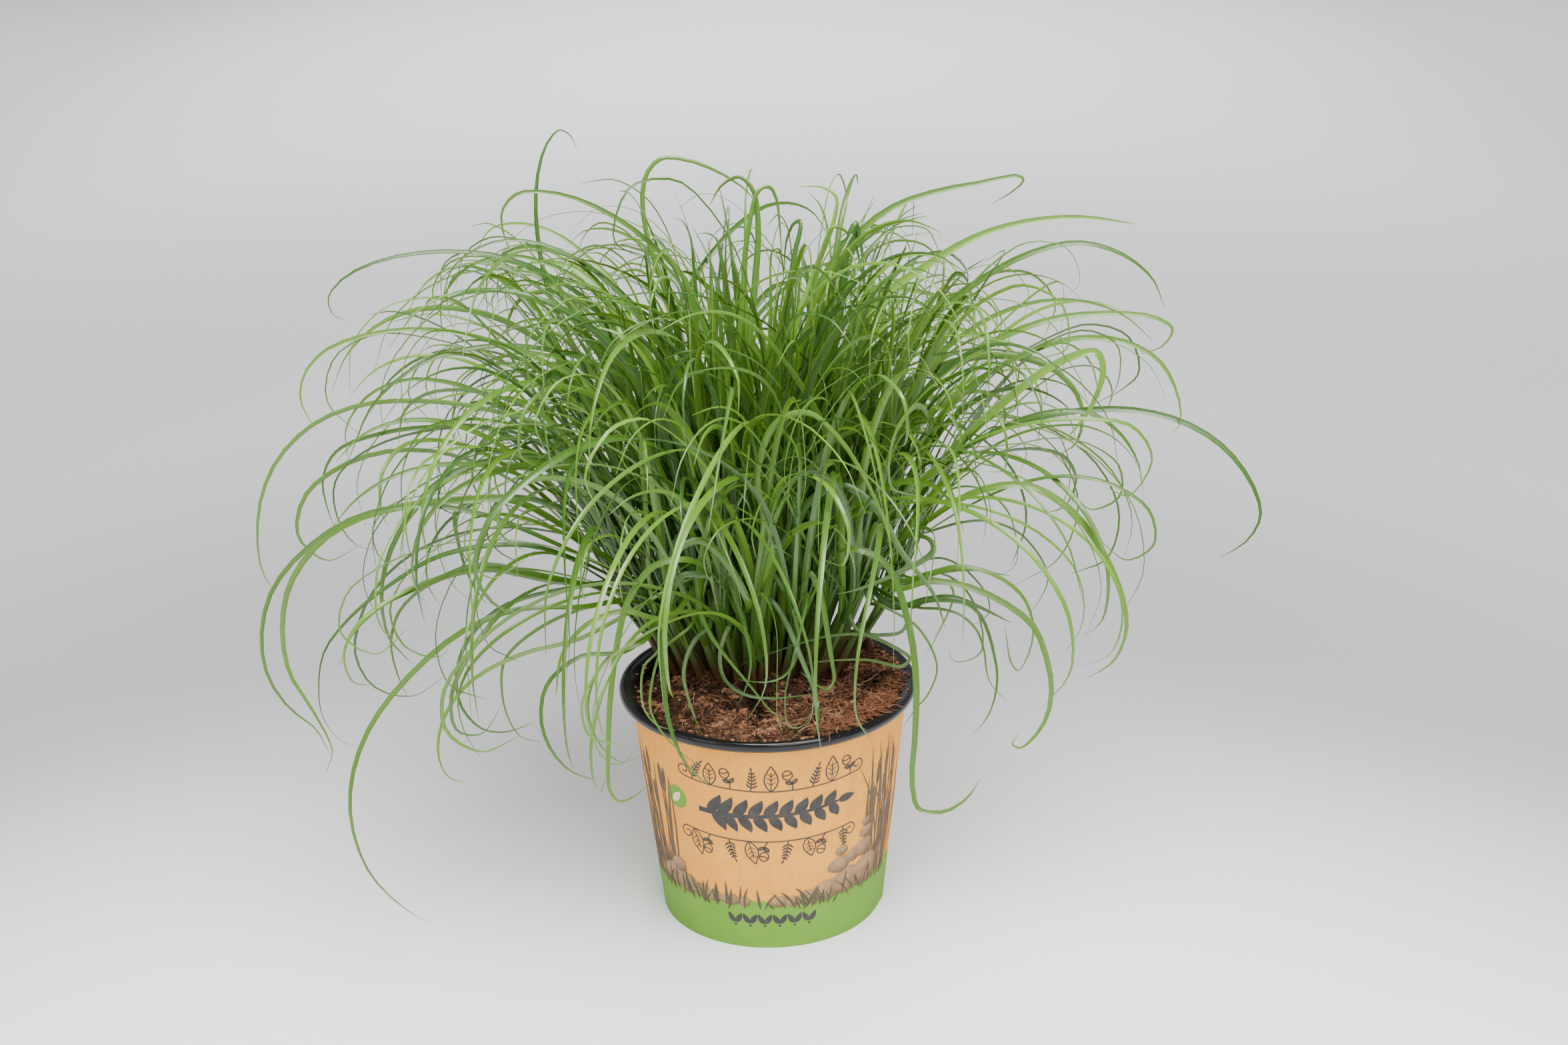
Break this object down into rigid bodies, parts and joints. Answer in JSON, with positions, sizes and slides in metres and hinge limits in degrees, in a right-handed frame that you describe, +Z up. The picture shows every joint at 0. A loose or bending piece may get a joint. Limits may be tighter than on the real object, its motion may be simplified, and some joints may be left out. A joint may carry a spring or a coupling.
{
  "type": "potted cat grass",
  "caption": "Dense clump of long arching grass leaves in a round black nursery pot with a conical kraft carton sleeve.",
  "frame": {"origin": "centre of the pot's base on the floor", "axes": "+Z up along the pot's axis, the printed front of the sleeve faces -Y, +X to the viewer's right"},
  "size_m": [0.3864, 0.3011, 0.3131],
  "materials": {
    "black_plastic": "satin",
    "kraft_carton": "uncoated kraft with a printed front",
    "coir_mix": "loose fibrous potting mix",
    "leaf_green": "satin leaf"
  },
  "bodies": {
    "root": {"pot": "black_plastic", "sleeve": "kraft_carton", "soil": "coir_mix", "shoot_01": "leaf_green", "shoot_02": "leaf_green", "shoot_03": "leaf_green", "shoot_04": "leaf_green", "shoot_05": "leaf_green", "shoot_06": "leaf_green", "shoot_07": "leaf_green", "shoot_08": "leaf_green", "shoot_09": "leaf_green", "shoot_10": "leaf_green", "shoot_11": "leaf_green", "shoot_12": "leaf_green", "shoot_13": "leaf_green", "shoot_14": "leaf_green", "shoot_15": "leaf_green", "shoot_16": "leaf_green", "shoot_17": "leaf_green", "shoot_18": "leaf_green", "shoot_19": "leaf_green", "shoot_20": "leaf_green", "shoot_21": "leaf_green", "shoot_22": "leaf_green", "shoot_23": "leaf_green", "shoot_24": "leaf_green"}
  },
  "joints": []
}
